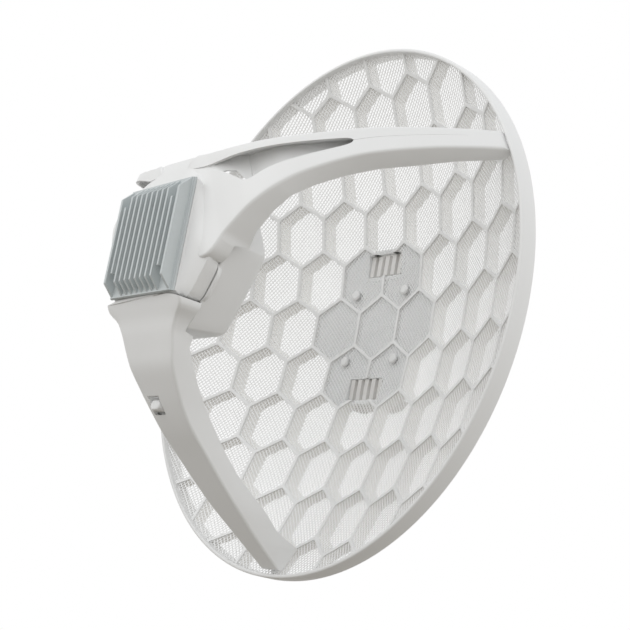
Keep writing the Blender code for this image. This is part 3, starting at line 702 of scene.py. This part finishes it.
def armWeb(name, angle):
    # thin plate that closes the upper arm's channel near its open edge
    width = [(r, w) for r, _, w in arms["upper"]]
    start, end, step, thick = arms["web"]
    rings = []
    r = start
    while r <= end:
        half = curveAt(width, r) - arms["wall"] + 0.3
        low = lineAt(arms["upperEdge"], r) + 0.4
        rings.append(armPoints(angle, [(r, -half, low), (r, half, low), (r, half, low + thick),
                                       (r, -half, low + thick)]))
        r += step
    points, faces = loft(rings)
    return newPiece(name, points, faces, plastic, arms["sharp"])


def slotTrough(name, angle, side):
    # the slot's floor rises towards the head and leaves a small gap on its lower side
    thick = trough["thick"]
    rings = [armPoints(angle, [(r, side * low, z), (r, side * high, z), (r, side * high, z + thick),
                               (r, side * low, z + thick)]) for r, low, high, z in trough["shape"]]
    points, faces = loft(rings)
    return newPiece(name, points, faces, plastic, arms["sharp"])


def skinGroove(angle, side):
    # thin line that runs on from the slot's end along the skin
    skin = [(r, z) for r, z, _ in arms["upper"]]
    rings = []
    for k in range(groove["count"]):
        r = groove["start"] + groove["step"] * k
        z, half, across = curveAt(skin, r), groove["half"] - groove["taper"] * k, groove["across"]
        rings.append(armPoints(angle, [(r, side * (across - half), z + 2), (r, side * (across + half), z + 2),
                                       (r, side * across, z - groove["deep"])]))
    return loft(rings)


for name, angle, side, node in (("armRight", 30, 1, "arm_right"), ("armLeft", 150, -1, "arm_left")):
    arm = armShell(name, angle, arms["root"] + arms["upper"][1:], arms["upperEdge"], leanSide=-side)
    outline = smoothOutline([(r, side * t) for r, t in arms["slot"]], 2)
    tool = loft([armPoints(angle, [(r, t, z) for r, t in outline]) for z in (100, 210)])
    carve(arm, [tool, skinGroove(angle, side)])
    smoothShade(arm, arms["sharp"])
    mount(arm, "antenna", "white_plastic", node)
    mount(armWeb(name + "Web", angle), "antenna", "white_plastic", node)
    mount(slotTrough(name + "Trough", angle, side), "antenna", "white_plastic", node)

lowerArm = armShell("armLower", 270, arms["lower"], arms["lowerEdge"], arms["rootCurve"])
r, side = arms["latchAt"]
deep, wide = arms["latchHole"]
corners = [(r - deep, side - wide), (r + deep, side - wide), (r + deep, side + wide), (r - deep, side + wide)]
carve(lowerArm, [loft([armPoints(270, [(a, b, z) for a, b in corners]) for z in arms["latchCut"]])])
smoothShade(lowerArm, arms["sharp"])
mount(lowerArm, "antenna", "white_plastic", "arm_lower")
print("arms made")


# The lid's outline is flat sides: (direction from the beam in degrees, distance from it).
lid = {"sides": [(30, 41.0), (90, 60.5), (150, 41.0), (210, 57.0), (270, 38.6), (330, 57.0)],
       "shoulder": [(30, 50.5), (90, 60.5), (150, 50.5), (210, 57.0), (270, 38.6), (330, 57.0)],
       "back": 183.5, "rise": 193.9, "front": 201.5, "sink": (38.0, 38.3), "up": 2.3, "wall": 2.4,
       "swell": 0.7, "strips": 8, "sharp": 28}
lip = {"back": 181.0, "mouth": 183.0, "front": 183.9, "deep": -4}


def facetRing(flats, z, sharp=26, count=120, up=0.0):
    # closed ring with these flat sides; a larger sharp gives tighter corners
    ring = []
    for k in range(count):
        angle = 2 * math.pi * k / count
        total = 0.0
        for direction, distance in flats:
            lean = math.cos(angle - math.radians(direction))
            if lean > 0:
                total += (lean / distance) ** sharp
        reach = total ** (-1 / sharp)
        ring.append((reach * math.cos(angle), up + reach * math.sin(angle), z))
    return ring


def frontLid():
    # flat sides between the arms, then a soft shoulder up to the edge of the heat sink
    def oblong(z, less=0.0):
        halfX, halfY = lid["sink"][0] - less, lid["sink"][1] - less
        return facetRing([(0, halfX), (90, halfY), (180, halfX), (270, halfY)], z, 44, up=lid["up"])

    inner = [(a, d - lid["wall"]) for a, d in lid["sides"]]
    rise, front = lid["rise"], lid["front"]
    start, end = facetRing(lid["shoulder"], rise + 0.5), oblong(front - 1.2, -0.2)
    rings = [oblong(front - lid["wall"], 4), facetRing(inner, rise - 2.2), facetRing(inner, lid["back"]),
             facetRing([(a, d - 0.9) for a, d in lid["sides"]], lid["back"]),
             facetRing(lid["sides"], lid["back"] + 0.9), facetRing(lid["shoulder"], rise - 0.6)]
    for k in range(lid["strips"] + 1):
        share = k / lid["strips"]
        swell = lid["swell"] * math.sin(math.pi * share)
        rings.append([(a[0] + (b[0] - a[0]) * share, a[1] + (b[1] - a[1]) * share,
                       a[2] + (b[2] - a[2]) * share + swell) for a, b in zip(start, end)])
    rings.append(oblong(front))
    points, faces = loft(rings)
    piece = newPiece("frontLid", points, faces, plastic, lid["sharp"])
    # openings for the thermal pad and for the cable
    carve(piece, [block((-15, -15, 185), (15, 15, 210)), block((-9.4, -60, 180), (9.4, -30, 193.4))])
    smoothShade(piece, lid["sharp"])
    return mount(piece, "antenna", "white_plastic", "front_cover")


def hubLip():
    # raised lip of the hub round the lid's side panels
    def flats(grow):
        return [(30, 40.0), (90, 60.6 + grow), (150, 40.0), (210, 57.2 + grow), (270, 38.0),
                (330, 57.2 + grow)]

    back, mouth, front, deep = lip["back"], lip["mouth"], lip["front"], lip["deep"]
    profile = [(deep, back), (1.6, back), (2.2, back + 0.6), (2.2, front - 0.5), (1.8, front), (0.6, front),
               (-0.6, mouth), (deep, mouth)]
    rings = [facetRing(flats(grow), z) for grow, z in profile]
    points, faces = loft(rings, closedEnds=False)
    count = len(rings[0])
    last = (len(rings) - 1) * count
    faces += [(last + k, last + (k + 1) % count, (k + 1) % count, k) for k in range(count)]
    return mount(newPiece("hubLip", points, faces, plastic, 30), "antenna", "white_plastic", "feed_hub")


# The heat sink is a stepped base with a row of fins, a wall each side and two short fins.
sink = {"back": 201.8, "base": 2.8, "step": 1.4, "ledge": 2.0, "fin": 7.6, "fins": 8, "pitch": 6.3,
        "thin": 1.8, "wallAt": 34.6, "wall": 2.2, "shortAt": 28.4, "shortInset": 14.5,
        "sunk": 0.5, "inset": 0.9, "finEdge": 0.25, "baseEdge": 0.12}


def finTree():
    tree = newTree("coolingFins", {
        "Count": sink["fins"], "Pitch": sink["pitch"], "Fin Length": 77.0, "Tip Length": 61.8,
        "Fin Height": sink["fin"], "Fin Thickness": sink["thin"], "Centre Up": lid["up"],
        "Base Height": sink["back"] + sink["base"]})
    inputs = put(tree, "NodeGroupInput").outputs
    work = sums(tree)
    outline = put(tree, "GeometryNodeCurvePrimitiveQuadrilateral", {
        "Height": inputs["Fin Height"], "Bottom Width": inputs["Fin Length"],
        "Top Width": inputs["Tip Length"], "Offset": 0.0}, mode="TRAPEZOID").outputs[0]
    flat = put(tree, "GeometryNodeFillCurve", {"Curve": outline}, mode="NGONS").outputs[0]
    thick = put(tree, "GeometryNodeExtrudeMesh", {
        "Mesh": flat, "Offset": (0, 0, 1), "Offset Scale": inputs["Fin Thickness"],
        "Individual": False}, mode="FACES").outputs[0]
    both = put(tree, "GeometryNodeJoinGeometry")
    for part in (thick, put(tree, "GeometryNodeFlipFaces", {"Mesh": flat}).outputs[0]):
        tree.links.new(part, both.inputs[0])
    fin = put(tree, "GeometryNodeMergeByDistance", {"Geometry": both.outputs[0], "Distance": 0.01}).outputs[0]
    upright = put(tree, "GeometryNodeTransform", {
        "Geometry": fin, "Rotation": (math.pi / 2, 0, math.pi / 2)}).outputs[0]
    reach = work("MULTIPLY", work("SUBTRACT", inputs["Count"], 1.0), work("MULTIPLY", inputs["Pitch"], 0.5))
    start = put(tree, "ShaderNodeCombineXYZ", {
        "X": work("SUBTRACT", work("MULTIPLY", inputs["Fin Thickness"], -0.5), reach),
        "Y": inputs["Centre Up"],
        "Z": work("ADD", inputs["Base Height"], work("MULTIPLY", inputs["Fin Height"], 0.5))}).outputs[0]
    row = put(tree, "GeometryNodeMeshLine", {
        "Count": inputs["Count"], "Start Location": start,
        "Offset": put(tree, "ShaderNodeCombineXYZ", {"X": inputs["Pitch"]}).outputs[0]}).outputs[0]
    many = put(tree, "GeometryNodeInstanceOnPoints", {"Points": row, "Instance": upright}).outputs[0]
    endTree(tree, many, inputs)
    return tree


def heatSink():
    halfX, halfY, up = lid["sink"][0], lid["sink"][1], lid["up"]
    low, top = sink["back"], sink["back"] + sink["base"]
    base = newPiece("sinkBase", *block((-halfX, up - halfY, low), (halfX, up + halfY, low + sink["step"])),
                    castMetal)
    inner = halfX - sink["ledge"]
    middle = halfX - sink["ledge"] / 2
    steps = [block((-middle, up - halfY + 0.1, low + 0.5), (middle, up + halfY - 0.1, low + 2.1)),
             block((-inner, up - halfY + 0.2, low + 1.0), (inner, up + halfY - 0.2, top))]
    carve(base, steps, "UNION")
    smoothShade(base, 30)
    softEdges(base, sink["baseEdge"], 2)
    mount(base, "antenna", "sink_metal", "heat_sink")
    fins = finTree()
    length, height = 2 * halfY - sink["inset"], sink["fin"] + sink["sunk"]
    short = length - 2 * sink["shortInset"]
    rows = [("coolingFins", sink["fins"], sink["pitch"], sink["thin"], length, length - 2 * height),
            ("sinkWalls", 2, 2 * sink["wallAt"], sink["wall"], length, length - 2 * height),
            ("shortFins", 2, 2 * sink["shortAt"], sink["thin"], short, short)]
    for name, count, pitch, thick, foot, tip in rows:
        piece = runTree(name, fins, castMetal, Count=count, Pitch=pitch, FinThickness=thick, FinLength=foot,
                        TipLength=tip, FinHeight=height, CentreUp=up, BaseHeight=top - sink["sunk"])
        softEdges(piece, sink["finEdge"], 2)
        mount(piece, "antenna", "sink_metal", "heat_sink")


hubLip()
softCopy("feed_hub", "feedHub", 0.8, plastic, "antenna", "white_plastic")
frontLid()
heatSink()
softCopy("mast_saddle", "mastSaddle", 0.5, saddlePlastic, "antenna", "saddle_plastic", 2)
softCopy("cable_door", "cableDoor", 0.3, plastic, "cable_door", "white_plastic", 2)
softCopy("door_latch", "doorLatch", 0.4, plastic, "door_latch", "white_plastic", 2)

# The pieces inside, the screws and the studs keep the CAD shape.
looks = {"main_board": boardGreen, "feed_board": boardGreen, "shield_can": canSteel,
         "ethernet_jack": canSteel, "feed_patch": patchCopper, "thermal_pad": padSoft,
         "reset_switch": blackPlastic, "board_carrier": blackPlastic, "reset_button": blackPlastic}
for place in ("upper_left", "upper_right", "lower_left", "lower_right"):
    looks["sink_screw_" + place] = castMetal
    looks["saddle_stud_" + place] = plastic
for node, material in looks.items():
    for slot in nodes[node].material_slots:
        slot.material = material
print("head and small parts made")


# The camera looks up at the antenna from the front and the right of it.
view = {"spot": (0.7790, -0.6604, -0.2400), "lens": 80.26, "sensor": 36,
        "right": (0.6273, 0.7592, 0.1737), "up": (0.0735, -0.2797, 0.9573),
        "back": (0.7753, -0.5877, -0.2313)}
lamps = [("keyLight", (-0.6, -1.5, 1.1), 1.2, 6), ("sideLight", (1.2, -1.2, 0.8), 1.0, 2.5)]
lampColour = (0.98, 0.99, 1)
sky = {"low": (0.15, (0.22, 0.205, 0.18, 1)), "level": (0.5, (0.76, 0.76, 0.755, 1)),
       "high": (0.92, (0.66, 0.67, 0.68, 1)), "front": 1.23, "behind": 1.56}
ground = {"half": 8, "z": -0.55}


def makeCamera(scene):
    data = bpy.data.cameras.new("camera")
    camera = bpy.data.objects.new("camera", data)
    scene.collection.objects.link(camera)
    columns = [view[key] for key in ("right", "up", "back", "spot")]
    camera.matrix_world = Matrix([[column[k] for column in columns] for k in range(3)] + [(0, 0, 0, 1)])
    data.lens = view["lens"]
    data.sensor_width = view["sensor"]
    data.clip_start = 0.01
    scene.camera = camera


def makeSky(scene):
    # soft light all round, stronger from behind, over a plain white background
    world = bpy.data.worlds.new("studioLight")
    scene.world = world
    world.use_nodes = True
    tree = world.node_tree
    tree.nodes.clear()
    place = put(tree, "ShaderNodeSeparateXYZ", {0: put(tree, "ShaderNodeTexCoord").outputs["Generated"]})
    share = put(tree, "ShaderNodeMapRange", {
        "Value": place.outputs["Z"], "From Min": -1.0, "From Max": 1.0}).outputs[0]
    strength = put(tree, "ShaderNodeMapRange", {
        "Value": place.outputs["Y"], "From Min": -0.1, "From Max": 0.9, "To Min": sky["front"],
        "To Max": sky["behind"]}).outputs[0]
    colours = put(tree, "ShaderNodeValToRGB", {0: share})
    ramp = colours.color_ramp.elements
    ramp[0].position, ramp[0].color = sky["low"]
    ramp[1].position, ramp[1].color = sky["high"]
    ramp.new(sky["level"][0]).color = sky["level"][1]
    soft = put(tree, "ShaderNodeBackground", {"Color": colours.outputs[0], "Strength": strength})
    plain = put(tree, "ShaderNodeBackground", {"Color": (1, 1, 1, 1), "Strength": 1.0})
    seen = put(tree, "ShaderNodeLightPath").outputs["Is Camera Ray"]
    mix = put(tree, "ShaderNodeMixShader", {0: seen, 1: soft.outputs[0], 2: plain.outputs[0]})
    tree.links.new(mix.outputs[0], put(tree, "ShaderNodeOutputWorld").inputs[0])


def makeLamp(scene, name, place, size, power):
    light = bpy.data.lights.new(name, "AREA")
    light.shape = "DISK"
    light.size = size
    light.energy = power
    light.color = lampColour
    lamp = bpy.data.objects.new(name, light)
    scene.collection.objects.link(lamp)
    lamp.location = place
    lamp.rotation_euler = (Vector((0, -0.1, 0)) - Vector(place)).to_track_quat("-Z", "Y").to_euler()


def makeFloor(scene):
    half, z = ground["half"], ground["z"]
    mesh = bpy.data.meshes.new("floor")
    mesh.from_pydata([(-half, -half, z), (half, -half, z), (half, half, z), (-half, half, z)], [],
                     [(0, 1, 2, 3)])
    mesh.materials.append(finishMaterial("paleFloor", (0.80, 0.80, 0.795), (0.79, 0.79, 0.785), 0.7,
                                         grainScale=60.0, cloudScale=0.8, bump=0.02))
    floor = bpy.data.objects.new("floor", mesh)
    scene.collection.objects.link(floor)
    floor.visible_diffuse = False
    floor.visible_glossy = False


studio = bpy.context.scene
makeCamera(studio)
makeSky(studio)
for name, place, size, power in lamps:
    makeLamp(studio, name, place, size, power)
makeFloor(studio)
studio.view_settings.view_transform = "Standard"
print("studio made")
